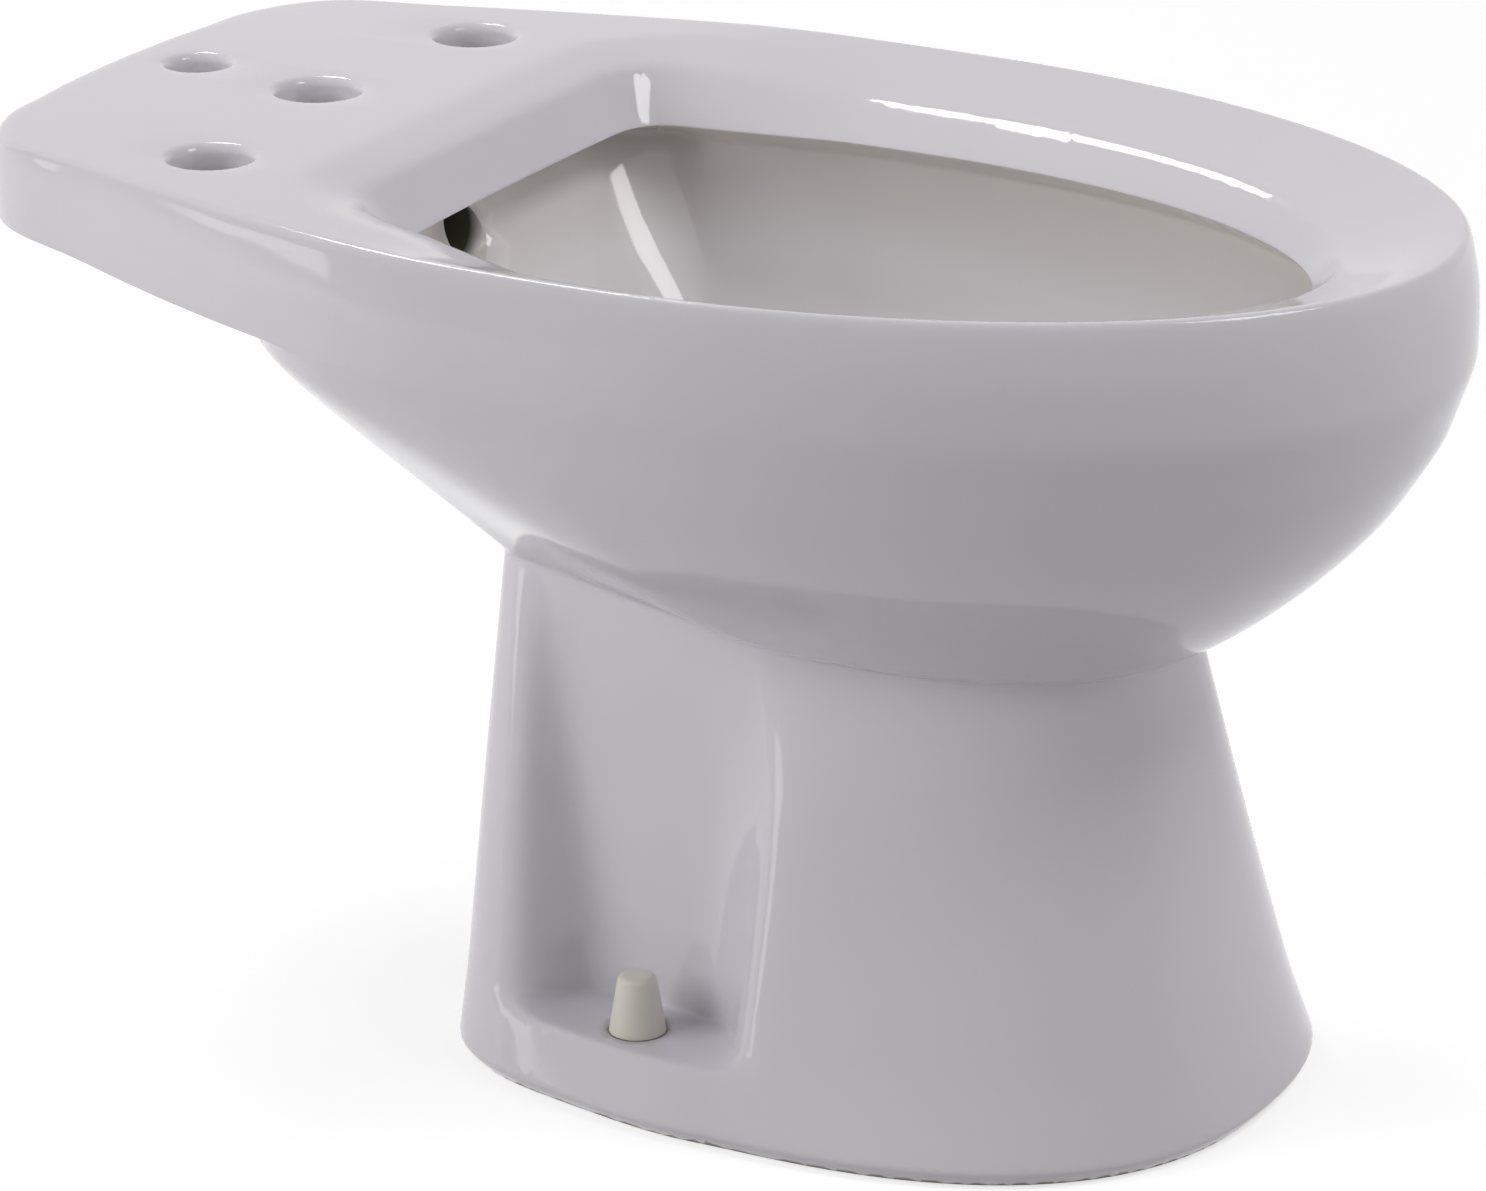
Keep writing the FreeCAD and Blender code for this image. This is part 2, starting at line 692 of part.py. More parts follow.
def box(name, length, width, height, base):
    return sized("Part::Box", name, base, Length=length, Width=width, Height=height)


def joined(kind, name, base, tool):
    """A boolean of two objects."""
    result = doc.addObject("Part::" + kind, name)
    result.Base = base
    result.Tool = tool
    return result


def without(name, base, tools):
    """The base with each tool cut from it in turn. The last cut has the name."""
    for index, tool in enumerate(tools):
        last = index == len(tools) - 1
        base = joined("Cut", name if last else "%s_cut_%d" % (name, index + 1), base, tool)
    return base


def turned(name, profile, base=("0", "0", "0")):
    """A body turned about its own Z axis from a closed profile of (radius, height) formulas."""
    body = doc.addObject("PartDesign::Body", name)
    sketch = body.newObject("Sketcher::SketchObject", name + "_profile")
    upright = [plane for plane in body.Origin.OriginFeatures if plane.Role == "XZ_Plane"][0]
    sketch.AttachmentSupport = [(upright, "")]
    sketch.MapMode = "FlatFace"
    corners = [Vector(worth(radius), worth(height), 0) for radius, height in profile]
    for start, end in zip(corners, corners[1:] + corners[:1]):
        sketch.addGeometry(Part.LineSegment(start, end), False)
    count = len(profile)
    for index, (radius, height) in enumerate(profile):
        sketch.addConstraint(Sketcher.Constraint("Coincident", index, 2, (index + 1) % count, 1))
        for direction, formula in (("DistanceX", radius), ("DistanceY", height)):
            if formula == "0":
                axis = -2 if direction == "DistanceX" else -1
                sketch.addConstraint(Sketcher.Constraint("PointOnObject", index, 1, axis))
                continue
            row = sketch.addConstraint(Sketcher.Constraint(direction, -1, 1, index, 1, worth(formula)))
            sketch.setExpression("Constraints[%d]" % row, tied(formula))
    turn = body.newObject("PartDesign::Revolution", name + "_turn")
    turn.Profile = sketch
    turn.ReferenceAxis = (sketch, ["V_Axis"])
    turn.Angle = 360.0
    return placed(body, base)


def ring(name, outer, inner, low, high, base):
    """A flat ring between two heights."""
    return turned(name, [(inner, low), (outer, low), (outer, high), (inner, high)], base)


def rounded_edge(body, name, radius, edge_radius):
    """Rounds the highest edge of a turned body that has the given radius at that height."""
    doc.recompute()
    before = body.Tip
    edges = before.Shape.Edges
    closed = [index for index, edge in enumerate(edges) if edge.isClosed()]
    rims = [index for index in closed if abs(edges[index].Curve.Radius - worth(radius)) < 1e-4]
    highest = max(rims, key=lambda index: edges[index].BoundBox.ZMax)
    fillet = body.newObject("PartDesign::Fillet", name)
    fillet.Base = (before, ["Edge%d" % (highest + 1)])
    fillet.setExpression("Radius", tied(edge_radius))
    return body


def pair(name, left):
    """A piece and its mirror image about X = 0, as one node."""
    right = doc.addObject("Part::Mirroring", name + "_right")
    right.Source = left
    right.Normal = Vector(1, 0, 0)
    both = doc.addObject("Part::Compound", name)
    both.Links = [left, right]
    return both


# The casting with its holes
def deck_hole(name, radius, x, setback):
    """A hole down through the deck, at a distance from its rear edge."""
    place = (x, "overall_length / 2 - " + setback, "overall_height - deck_thickness - wall")
    return cylinder(name, radius, "deck_thickness + 2 * wall", place)


deck_holes = [
    deck_hole("valve_hole_left", "valve_hole_radius", "-valve_spacing / 2", "valve_setback"),
    deck_hole("valve_hole_right", "valve_hole_radius", "valve_spacing / 2", "valve_setback"),
    deck_hole("spout_hole", "spout_hole_radius", "0", "spout_setback"),
    deck_hole("rod_hole", "rod_hole_radius", "rod_offset", "rod_setback"),
]
bolt_holes = []
for side, sign in (("left", "-"), ("right", "")):
    place = (sign + "bolt_spacing / 2", "bolt_setback", "ledge_height - 1.5 * wall")
    bolt_holes.append(cylinder("bolt_hole_" + side, "bolt_hole_radius", "2 * wall", place))
fixing_seats = []
for side, sign in (("left", "-"), ("right", "")):
    place = (sign + "bolt_spacing / 2", "bolt_setback", "ledge_height - fixing_seat_depth")
    radius = "cap_base_radius + fixing_seat_margin"
    fixing_seats.append(cylinder("fixing_seat_" + side, radius, "wall", place))
drain_hole = cylinder("drain_hole", "drain_hole_radius", "2 * floor_thickness",
                      ("0", "drain_setback", "seat_height - 1.5 * floor_thickness"))
OVERFLOW_START = "overall_length / 2 - dish_setback - lip_overhang"
overflow = cylinder("overflow", "overflow_radius", "overflow_reach + lip_overhang",
                    ("0", OVERFLOW_START, "overall_height - overflow_drop"), TO_PLUS_Y)
ARCH_HEIGHT = "back_opening_height - back_opening_width / 2"
back_box = box("back_opening_sides", "back_opening_width", "4 * wall", ARCH_HEIGHT + " + wall",
               ("-back_opening_width / 2", "foot_rear - 3 * wall", "-wall"))
back_arch = cylinder("back_opening_arch", "back_opening_width / 2", "4 * wall",
                     ("0", "foot_rear - 3 * wall", ARCH_HEIGHT), TO_PLUS_Y)
back_opening = joined("Fuse", "back_opening", back_box, back_arch)
hollows = [pedestal_hollow, deck_pocket, drain_hole, overflow, back_opening]
china_cut = without("china_cut", casting_blank, hollows + bolt_holes + fixing_seats + deck_holes)
doc.recompute()


def round_hole(edge, hole):
    """Whether an edge lies on the deck, on a hole's own circle."""
    for share in (0.0, 0.5, 1.0):
        point = edge.valueAt(mix(edge.FirstParameter, edge.LastParameter, share))
        out = point - hole.Placement.Base
        if abs(point.z - top) > 0.5 or abs(math.hypot(out.x, out.y) - hole.Radius.Value) > 0.1:
            return False
    return True


mouths = []
for hole in deck_holes:
    rims = [index for index, edge in enumerate(china_cut.Shape.Edges) if round_hole(edge, hole)]
    mouths += [(index + 1, mm("hole_edge_radius"), mm("hole_edge_radius")) for index in rims]
china_body = doc.addObject("Part::Fillet", "china_body")
china_body.Base = china_cut
china_body.Edges = mouths

# Floor fixings: a bolt stands in each ledge's hole with its head under the ledge
BOLT = ("-bolt_spacing / 2", "bolt_setback", "0")
ON_LEDGE = "ledge_height - fixing_seat_depth"
ON_RETAINER = ON_LEDGE + " + retainer_thickness"
ON_WASHER = ON_RETAINER + " + bolt_washer_thickness"
bolt_shank = cylinder("bolt_shank", "bolt_radius", "ledge_height + bolt_end - bolt_floor_gap",
                      ("-bolt_spacing / 2", "bolt_setback", "bolt_floor_gap"))
head_round = cylinder("bolt_head_round", "bolt_head_length / 2", "bolt_head_thickness",
                      ("-bolt_spacing / 2", "bolt_setback", "bolt_floor_gap"))
head_flats = box("bolt_head_flats", "bolt_head_width", "bolt_head_length", "bolt_head_thickness",
                 ("-bolt_spacing / 2 - bolt_head_width / 2", "bolt_setback - bolt_head_length / 2",
                  "bolt_floor_gap"))
bolt_head = joined("Common", "bolt_head", head_round, head_flats)
floor_bolts = pair("floor_bolts", joined("Fuse", "floor_bolt", bolt_shank, bolt_head))
BOLT_BORE = "bolt_radius + thread_clearance"
cap_retainers = pair("cap_retainers", ring("cap_retainer", "retainer_radius", BOLT_BORE,
                                           ON_LEDGE, ON_RETAINER, BOLT))
bolt_washers = pair("bolt_washers", ring("bolt_washer", "bolt_washer_radius", BOLT_BORE,
                                         ON_RETAINER, ON_WASHER, BOLT))
nut_blank = hexagon("bolt_nut_blank", "bolt_nut_radius", "bolt_nut_height",
                    ("-bolt_spacing / 2", "bolt_setback", ON_WASHER))
nut_bore = cylinder("bolt_nut_bore", BOLT_BORE, "2 * bolt_nut_height",
                    ("-bolt_spacing / 2", "bolt_setback", ON_WASHER + " - bolt_nut_height / 2"))
bolt_nuts = pair("bolt_nuts", joined("Cut", "bolt_nut", nut_blank, nut_bore))


def bolt_cap(name, x):
    """A hollow tapered cap that stands over a bolt's end, open below, with a rounded crown."""
    low = ON_LEDGE + " + running_gap"
    high = low + " + cap_height"
    body = turned(name, [
        ("cap_base_radius - cap_wall", low),
        ("cap_base_radius", low),
        ("cap_top_radius", high),
        ("0", high),
        ("0", high + " - cap_wall"),
        ("cap_top_radius - cap_wall", high + " - cap_wall"),
    ], (x, "bolt_setback", "0"))
    return rounded_edge(body, name + "_crown", "cap_top_radius", "cap_edge_radius")


bolt_cap_left = bolt_cap("bolt_cap_left", "-bolt_spacing / 2")
bolt_cap_right = bolt_cap("bolt_cap_right", "bolt_spacing / 2")

# Waste body: flange, shank and the port of the pivot rod
WASTE = ("0", "drain_setback", "0")
FLANGE_LOW = "seat_height + flange_seal_thickness"
FLANGE_HIGH = FLANGE_LOW + " + flange_thickness"
THROAT_FLOOR = FLANGE_HIGH + " - throat_depth"
SHANK_LOW = FLANGE_LOW + " - shank_length"
SOCKET_END = SHANK_LOW + " + socket_depth"
PLUG_LOW = THROAT_FLOOR + " + running_gap + plug_seal_thickness"
EYE = PLUG_LOW + " - eye_drop"
PIVOT = EYE + " + pivot_reach * tan(pivot_tilt)"
BALL_SEAT = "sqrt(ball_radius * ball_radius - port_window_radius * port_window_radius) + running_gap"
SEAT_NEAR = "pivot_reach + " + BALL_SEAT
SEAT_FAR = SEAT_NEAR + " + pivot_seat_thickness"


def along_port(start):
    """The place on the port's axis at a distance from the waste's own axis."""
    return "0", "drain_setback + " + start, PIVOT


TUBE_BORE = "tube_radius - spigot_step + thread_clearance"
waste_blank = turned("waste_blank", [
    ("0", SHANK_LOW), ("shank_radius", SHANK_LOW), ("shank_radius", FLANGE_LOW),
    ("flange_radius", FLANGE_LOW), ("flange_radius", FLANGE_HIGH), ("0", FLANGE_HIGH),
], WASTE)
waste_bore = turned("waste_bore", [
    ("0", SHANK_LOW + " - wall"), (TUBE_BORE, SHANK_LOW + " - wall"),
    (TUBE_BORE, SOCKET_END), ("waste_bore_radius", SOCKET_END),
    ("waste_bore_radius", THROAT_FLOOR), ("throat_radius", THROAT_FLOOR),
    ("throat_radius", FLANGE_HIGH + " + wall"), ("0", FLANGE_HIGH + " + wall"),
], WASTE)
port_blank = cylinder("port_blank", "port_radius", SEAT_FAR + " - thread_clearance", along_port("0"),
                      TO_PLUS_Y)
port_window = cylinder("port_window", "port_window_radius", SEAT_FAR, along_port("0"), TO_PLUS_Y)
port_chamber = cylinder("port_chamber", "ball_radius + running_gap", SEAT_FAR,
                        along_port("pivot_reach - (" + BALL_SEAT + ")"), TO_PLUS_Y)
waste_body = without("waste_body", joined("Fuse", "waste_with_port", waste_blank, port_blank),
                     [waste_bore, port_window, port_chamber])

# Seals and nuts that clamp the waste to the casting
SHANK_BORE = "shank_radius + thread_clearance"
UNDER_FLOOR = "seat_height - floor_thickness"
UNDER_GASKET = UNDER_FLOOR + " - gasket_thickness"
UNDER_FRICTION = UNDER_GASKET + " - friction_washer_thickness"
UNDER_LOCK_NUT = UNDER_FRICTION + " - lock_nut_height"
flange_seal = ring("flange_seal", "flange_radius", SHANK_BORE, "seat_height", FLANGE_LOW, WASTE)
under_gasket = turned("under_gasket", [
    (SHANK_BORE, UNDER_GASKET), ("gasket_radius", UNDER_GASKET),
    ("gasket_radius - gasket_taper", UNDER_FLOOR), (SHANK_BORE, UNDER_FLOOR),
], WASTE)
friction_washer = ring("friction_washer", "gasket_radius", SHANK_BORE, UNDER_FRICTION, UNDER_GASKET, WASTE)
lock_nut = without("lock_nut", hexagon("lock_nut_blank", "lock_nut_radius", "lock_nut_height",
                                       ("0", "drain_setback", UNDER_LOCK_NUT)),
                   [cylinder("lock_nut_bore", SHANK_BORE, "2 * lock_nut_height",
                             ("0", "drain_setback", UNDER_LOCK_NUT + " - lock_nut_height / 2"))])

# Outlet tube, held in the shank's socket by a seal and a slip nut
TUBE_HIGH = SOCKET_END + " - thread_clearance"
UNDER_SEAL = SHANK_LOW + " - slip_seal_thickness"
SLIP_LOW = UNDER_SEAL + " - slip_nut_lip"
TUBE_LOW = TUBE_HIGH + " - tube_length"
TUBE_STEP = SLIP_LOW + " - thread_clearance"
tailpiece = turned("tailpiece", [
    ("tube_radius - tube_wall", TUBE_LOW), ("tube_radius", TUBE_LOW), ("tube_radius", TUBE_STEP),
    ("tube_radius - spigot_step", TUBE_STEP), ("tube_radius - spigot_step", TUBE_HIGH),
    ("tube_radius - tube_wall", TUBE_HIGH),
], WASTE)
slip_seal = ring("slip_seal", "shank_radius", TUBE_BORE, UNDER_SEAL, SHANK_LOW, WASTE)
slip_nut = without("slip_nut", hexagon("slip_nut_blank", "slip_nut_radius",
                                       "slip_nut_lip + slip_seal_thickness + slip_nut_grip",
                                       ("0", "drain_setback", SLIP_LOW)),
                   [cylinder("slip_nut_bore", SHANK_BORE, "slip_seal_thickness + 2 * slip_nut_grip",
                             ("0", "drain_setback", UNDER_SEAL)),
                    cylinder("slip_nut_lip_bore", TUBE_BORE, "4 * slip_nut_lip",
                             ("0", "drain_setback", SLIP_LOW + " - slip_nut_lip"))])

# Plug: a crowned head over a seal, on a stem with an eye at its end
plug_head = rounded_edge(turned("plug_head", [
    ("0", PLUG_LOW), ("plug_radius", PLUG_LOW), ("plug_radius", PLUG_LOW + " + plug_edge"),
    ("0", PLUG_LOW + " + plug_height"),
], WASTE), "plug_crown", "plug_radius", "plug_edge_radius")
plug_seal = ring("plug_seal", "plug_seal_radius", "stem_radius + thread_clearance",
                 PLUG_LOW + " - plug_seal_thickness", PLUG_LOW, WASTE)
stem_round = cylinder("stem_round", "stem_radius", "eye_drop - eye_margin",
                      ("0", "drain_setback", EYE + " + eye_margin"))
stem_tab = box("stem_tab", "eye_width", "eye_thickness", "2 * eye_margin",
               ("-eye_width / 2", "drain_setback - eye_thickness / 2", EYE + " - eye_margin"))
stem_eye = cylinder("stem_eye", "eye_radius", "4 * eye_thickness",
                    ("0", "drain_setback - 2 * eye_thickness", EYE), TO_PLUS_Y)
plug_stem = joined("Cut", "plug_stem", joined("Fuse", "stem_with_tab", stem_round, stem_tab), stem_eye)

# Pivot rod: its tip is in the stem's eye and its ball turns in the port
INNER = "(pivot_reach / cos(pivot_tilt) + rod_tip)"
pivot_rod = cylinder("pivot_rod", "rod_radius", "rod_length",
                     ("0", "drain_setback + pivot_reach - " + INNER + " * cos(pivot_tilt)",
                      PIVOT + " - " + INNER + " * sin(pivot_tilt)"),
                     Rotation(Vector(1, 0, 0), mm("pivot_tilt") - 90.0))
ball_blank = sized("Part::Sphere", "ball_blank", along_port("pivot_reach"), Radius="ball_radius")
pivot_ball = joined("Cut", "pivot_ball", ball_blank, pivot_rod)
seat_blank = cylinder("pivot_seat_blank", "ball_radius", "pivot_seat_thickness", along_port(SEAT_NEAR),
                      TO_PLUS_Y)
pivot_seat = joined("Cut", "pivot_seat", seat_blank, port_window)
pivot_nut = without("pivot_nut", hexagon("pivot_nut_blank", "pivot_nut_radius",
                                         "pivot_nut_grip + pivot_nut_lip",
                                         along_port(SEAT_FAR + " - pivot_nut_grip"), TO_PLUS_Y),
                    [cylinder("pivot_nut_bore", "port_radius + thread_clearance", "pivot_nut_grip",
                              along_port(SEAT_FAR + " - pivot_nut_grip"), TO_PLUS_Y),
                     cylinder("pivot_nut_lip_bore", "port_window_radius", "2 * pivot_nut_grip",
                              along_port(SEAT_FAR + " - pivot_nut_grip"), TO_PLUS_Y)])

pieces = [
    china_body, floor_bolts, cap_retainers, bolt_washers, bolt_nuts, bolt_cap_left, bolt_cap_right,
    waste_body, flange_seal, under_gasket, friction_washer, lock_nut, tailpiece, slip_seal, slip_nut,
    plug_head, plug_seal, plug_stem, pivot_rod, pivot_ball, pivot_seat, pivot_nut,
]
doc.recompute()
for item in doc.Objects:
    if "Invalid" in item.State or "Error" in item.State:
        raise RuntimeError("%s did not recompute: %s" % (item.Label, item.State))
for piece in pieces:
    if piece.Shape.isNull() or not piece.Shape.isValid():
        raise RuntimeError("%s has no valid shape" % piece.Label)
if len(china_body.Shape.Solids) != 1:
    raise RuntimeError("the casting is not one solid")

os.makedirs("parts", exist_ok=True)
for piece in pieces:
    piece.Shape.exportStep("parts/%s.step" % piece.Label)
    print(piece.Label, len(piece.Shape.Solids), "solids", round(piece.Shape.Volume / 1000.0, 2), "cubic cm")
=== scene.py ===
# Floor-standing bidet of white vitreous china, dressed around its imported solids.
# Metres, +Z up: the deck with the tap holes is towards +Y and the nose towards -Y.
import math

import bmesh
import bpy
from mathutils import Matrix, Vector
from mathutils.bvhtree import BVHTree


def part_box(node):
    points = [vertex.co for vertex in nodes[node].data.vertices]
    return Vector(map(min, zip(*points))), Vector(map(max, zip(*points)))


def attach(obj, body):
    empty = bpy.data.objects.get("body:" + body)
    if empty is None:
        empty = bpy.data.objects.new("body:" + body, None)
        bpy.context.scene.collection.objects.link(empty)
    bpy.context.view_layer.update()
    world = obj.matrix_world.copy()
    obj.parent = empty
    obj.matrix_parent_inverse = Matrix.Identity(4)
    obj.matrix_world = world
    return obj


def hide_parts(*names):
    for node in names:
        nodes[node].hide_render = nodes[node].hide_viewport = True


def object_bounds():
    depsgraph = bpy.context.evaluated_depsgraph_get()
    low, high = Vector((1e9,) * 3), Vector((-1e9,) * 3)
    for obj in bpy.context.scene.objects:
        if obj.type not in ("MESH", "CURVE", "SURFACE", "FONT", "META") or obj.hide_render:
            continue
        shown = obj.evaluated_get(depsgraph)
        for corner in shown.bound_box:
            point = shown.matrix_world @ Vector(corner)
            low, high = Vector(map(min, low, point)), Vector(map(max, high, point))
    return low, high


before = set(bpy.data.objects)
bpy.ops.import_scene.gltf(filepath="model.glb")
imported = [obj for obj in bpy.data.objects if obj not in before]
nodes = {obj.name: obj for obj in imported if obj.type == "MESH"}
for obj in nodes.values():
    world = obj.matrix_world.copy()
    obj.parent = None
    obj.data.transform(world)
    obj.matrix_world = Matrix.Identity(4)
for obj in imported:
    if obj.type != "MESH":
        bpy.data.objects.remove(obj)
cad_low, cad_high = [list(corner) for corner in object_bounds()]
scene = bpy.context.scene
scene.view_settings.view_transform = "Standard"


# The casting: one slip-cast piece of vitreous china, glazed white and fired.
# It is glazed wherever a hand or the water reaches, and bare, chalky and a little
# warmer inside the pedestal, in the pocket under the deck and on the foot's ring.
class Value:
    """A socket of a node tree that is being made. Sums and products of it add Math nodes."""

    def __init__(self, owner, socket):
        self.owner = owner
        self.socket = socket

    def math(self, operation, other):
        return self.owner.node("ShaderNodeMath", {"operation": operation}, {0: self, 1: other})

    def __add__(self, other):
        return self.math("ADD", other)

    def __mul__(self, other):
        return self.math("MULTIPLY", other)

    __radd__ = __add__
    __rmul__ = __mul__


class Nodes:
    """A node tree of a material or of the world."""

    # Sockets of the Mix node for colours, by number because several share a name
    MIX_SHARE, MIX_FIRST, MIX_SECOND, MIX_COLOUR = 0, 6, 7, 2

    def __init__(self, owner):
        owner.use_nodes = True
        self.tree = owner.node_tree

    def put(self, socket, value):
        """Links a value to a socket, or sets a number or colour on it."""
        if isinstance(value, Value):
            self.tree.links.new(value.socket, socket)
        elif socket.type == "RGBA":
            socket.default_value = (*value, 1.0)
        else:
            socket.default_value = value

    def node(self, kind, settings=None, sockets=None, output=0):
        """Any node: its settings first, then the values or links of its sockets."""
        made = self.tree.nodes.new(kind)
        for name, value in (settings or {}).items():
            setattr(made, name, value)
        for name, value in (sockets or {}).items():
            self.put(made.inputs[name], value)
        return Value(self, made.outputs[output])

    def place(self):
        """Where a point is on the object, in metres."""
        return self.node("ShaderNodeTexCoord", output="Object")

    def along(self, axis):
        """How far a point is along one axis of the object."""
        return self.node("ShaderNodeSeparateXYZ", {}, {0: self.place()}, axis)

    def span(self, value, start, end):
        """0 up to the start, 1 from the end on, and a straight rise between them."""
        sockets = {"Value": value, "From Min": start, "From Max": end}
        return self.node("ShaderNodeMapRange", {}, sockets)

    def mix(self, share, first, second):
        """The first colour where the share is 0, and the second where it is 1."""
        sockets = {self.MIX_SHARE: share, self.MIX_FIRST: first, self.MIX_SECOND: second}
        return self.node("ShaderNodeMix", {"data_type": "RGBA"}, sockets, self.MIX_COLOUR)


class Finish(Nodes):
    """A material with one Principled shader, whose plain numbers are set on its own sockets."""

    def __init__(self, name, **plain):
        self.material = bpy.data.materials.new(name)
        super().__init__(self.material)
        self.shader = self.tree.nodes["Principled BSDF"]
        for socket, value in plain.items():
            self.set(socket.replace("_", " "), value)

    def set(self, socket, value):
        self.put(self.shader.inputs[socket], value)

    def noise(self, waves, detail=2.0):
        """Soft noise from 0 to 1, so many waves to the metre."""
        sockets = {"Vector": self.place(), "Scale": waves, "Detail": detail}
        return self.node("ShaderNodeTexNoise", {}, sockets)

    def tint(self, share, first, second):
        """The colour, from the first to the second as the share goes from 0 to 1."""
        self.set("Base Color", self.mix(share, first, second))

    def polish(self, share, smooth, rough):
        """The roughness, from smooth to rough as the share goes from 0 to 1."""
        self.set("Roughness", smooth + (rough - smooth) * share)

    def relief(self, height, depth, strength):
        """A fine relief, its depth in metres, on the shader's normal."""
        sockets = {"Strength": strength, "Distance": depth, "Height": height}
        self.set("Normal", self.node("ShaderNodeBump", {}, sockets))


class Glaze(Finish):
    """Fired glaze: glossy, with the long low ripple of a dipped coat and a faint orange peel."""

    PEEL_SHARE = 0.12

    def __init__(self, name):
        super().__init__(name, IOR=1.5, Specular_IOR_Level=0.45)
        ripple = self.noise(waves=14.0, detail=1.0)
        peel = self.noise(waves=160.0)
        self.cloud = self.noise(waves=9.0, detail=4.0)
        self.polish(self.noise(waves=40.0, detail=3.0), smooth=0.05, rough=0.10)
        self.relief(ripple + self.PEEL_SHARE * peel, depth=0.0006, strength=0.25)


def even_glaze(name, thin, thick):
    """A coat of one thickness, faintly cloudy in colour."""
    glaze = Glaze(name)
    glaze.tint(glaze.cloud, thin, thick)
    return glaze.material


CLOUD_SHARE = 0.15


def painted_shade_glaze(name, thin, thick, painted_shade_height, painted_light_height):
    """Glaze with painted shade: darker and warmer high up, where the lip's overhang shades it, and painted
    lighter lower down.
    """
    glaze = Glaze(name)
    shade_to_light = glaze.span(glaze.along("Z"), painted_shade_height, painted_light_height)
    glaze.tint((1.0 - CLOUD_SHARE) * shade_to_light + CLOUD_SHARE * glaze.cloud, thin, thick)
    return glaze.material


def bare_clay(name, dark, pale):
    """Unglazed fired clay: chalky, without gloss."""
    finish = Finish(name, Specular_IOR_Level=0.3)
    finish.tint(finish.noise(waves=60.0, detail=5.0), dark, pale)
    finish.polish(finish.noise(waves=300.0), smooth=0.75, rough=0.95)
    finish.relief(finish.noise(waves=900.0, detail=4.0), depth=0.0004, strength=0.5)
    return finish.material


RAGGED_EDGE = 0.001


def painted_hole_shade(name, pale, dark, start, end):
    """Glaze that turns to near-black painted shade from one place to another along Y, standing in for the
    shade deep in a hole.
    """
    finish = Finish(name, Specular_IOR_Level=0.3)
    edge = finish.along("Y") + RAGGED_EDGE * finish.noise(waves=200.0)
    into_painted_shade = finish.span(edge, start, end)
    finish.tint(into_painted_shade, pale, dark)
    finish.polish(into_painted_shade, smooth=0.2, rough=0.8)
    finish.relief(finish.noise(waves=600.0, detail=3.0), depth=0.0002, strength=0.3)
    return finish.material


OUTER_GLAZE = even_glaze("outer_glaze", thin=(0.665, 0.640, 0.690), thick=(0.695, 0.670, 0.720))
# The bowl's glaze carries painted shade, darker and warmer just under the lip where the lip shades it.
# Lower down it is painted lighter than the outer glaze.
BOWL_GLAZE_PAINTED_SHADE = painted_shade_glaze(
    "bowl_glaze_painted_shade", thin=(0.58, 0.55, 0.51), thick=(0.84, 0.81, 0.83), painted_shade_height=0.330, painted_light_height=0.285)
BARE_CHINA = bare_clay("bare_china", dark=(0.52, 0.49, 0.44), pale=(0.63, 0.60, 0.56))
# The overflow's inside is painted shade: near-black deeper in, for the shade inside the hole.
OVERFLOW_PAINTED_SHADE = painted_hole_shade(
    "overflow_painted_shade", pale=(0.66, 0.63, 0.60), dark=(0.035, 0.033, 0.022), start=0.132, end=0.139)
FINISHES = (OUTER_GLAZE, BOWL_GLAZE_PAINTED_SHADE, BARE_CHINA, OVERFLOW_PAINTED_SHADE)
GLAZED, IN_BOWL, BARE, IN_OVERFLOW = range(len(FINISHES))

LIP_DEPTH = 0.028
BOWL_TOP = cad_high[2] - LIP_DEPTH
BOWL_EYE = Vector((0.0, -0.05, 0.30))
FOOT_RING = 0.0015
FLOOR_THICKNESS = 0.018
CEILING_SLACK = 0.002
HOLLOW_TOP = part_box("flange_seal")[0][2] - FLOOR_THICKNESS + CEILING_SLACK
HOLLOW_EYE = Vector((0.0, -0.05, 0.16))
POCKET_EYE = Vector((0.0, 0.225, 0.335))
POCKET_FRONT = 0.155
POCKET_LOW = 0.3215
POCKET_TOP = 0.3525
OVERFLOW_HEIGHT = 0.313
OVERFLOW_MOUTH = 0.12
OVERFLOW_END = 0.1485
OVERFLOW_RADIUS = 0.0134
SEEN_SLACK = 0.0006
SHARP_CORNER = math.radians(38.0)
MERGE_REACH = 0.000002


def finish_of(face, tree):
    """Which finish a face of the casting has: by where it is, and from which hollow it is seen."""
    middle = face.calc_center_median()

    def seen_from(eye):
        reach = middle - eye
        distance = tree.ray_cast(eye, reach)[3]
        return distance is not None and distance > reach.length - SEEN_SLACK

    def seen_inside(eye):
        return seen_from(Vector((eye.x, eye.y, min(middle.z, eye.z))))

    if middle.z < FOOT_RING:
        return BARE
    if middle.z < HOLLOW_TOP:
        return BARE if seen_inside(HOLLOW_EYE) else GLAZED
    if middle.y > POCKET_FRONT and POCKET_LOW < middle.z < POCKET_TOP:
        return BARE if seen_inside(POCKET_EYE) else GLAZED
    off_axis = math.hypot(middle.x, middle.z - OVERFLOW_HEIGHT)
    if OVERFLOW_MOUTH < middle.y < OVERFLOW_END and off_axis < OVERFLOW_RADIUS:
        return IN_OVERFLOW
    return IN_BOWL if middle.z < BOWL_TOP and seen_from(BOWL_EYE) else GLAZED


casting = bpy.data.objects.new("casting", nodes["china_body"].data.copy())
scene.collection.objects.link(casting)
casting.data.materials.clear()
for material in FINISHES:
    casting.data.materials.append(material)
merged = bmesh.new()
merged.from_mesh(casting.data)
bmesh.ops.remove_doubles(merged, verts=merged.verts, dist=MERGE_REACH)
faces = BVHTree.FromBMesh(merged)
for face in merged.faces:
    face.material_index = finish_of(face, faces)
merged.to_mesh(casting.data)
merged.free()
casting.data.shade_smooth()
casting.data.set_sharp_from_angle(angle=SHARP_CORNER)
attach(casting, "bidet")
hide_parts("china_body")


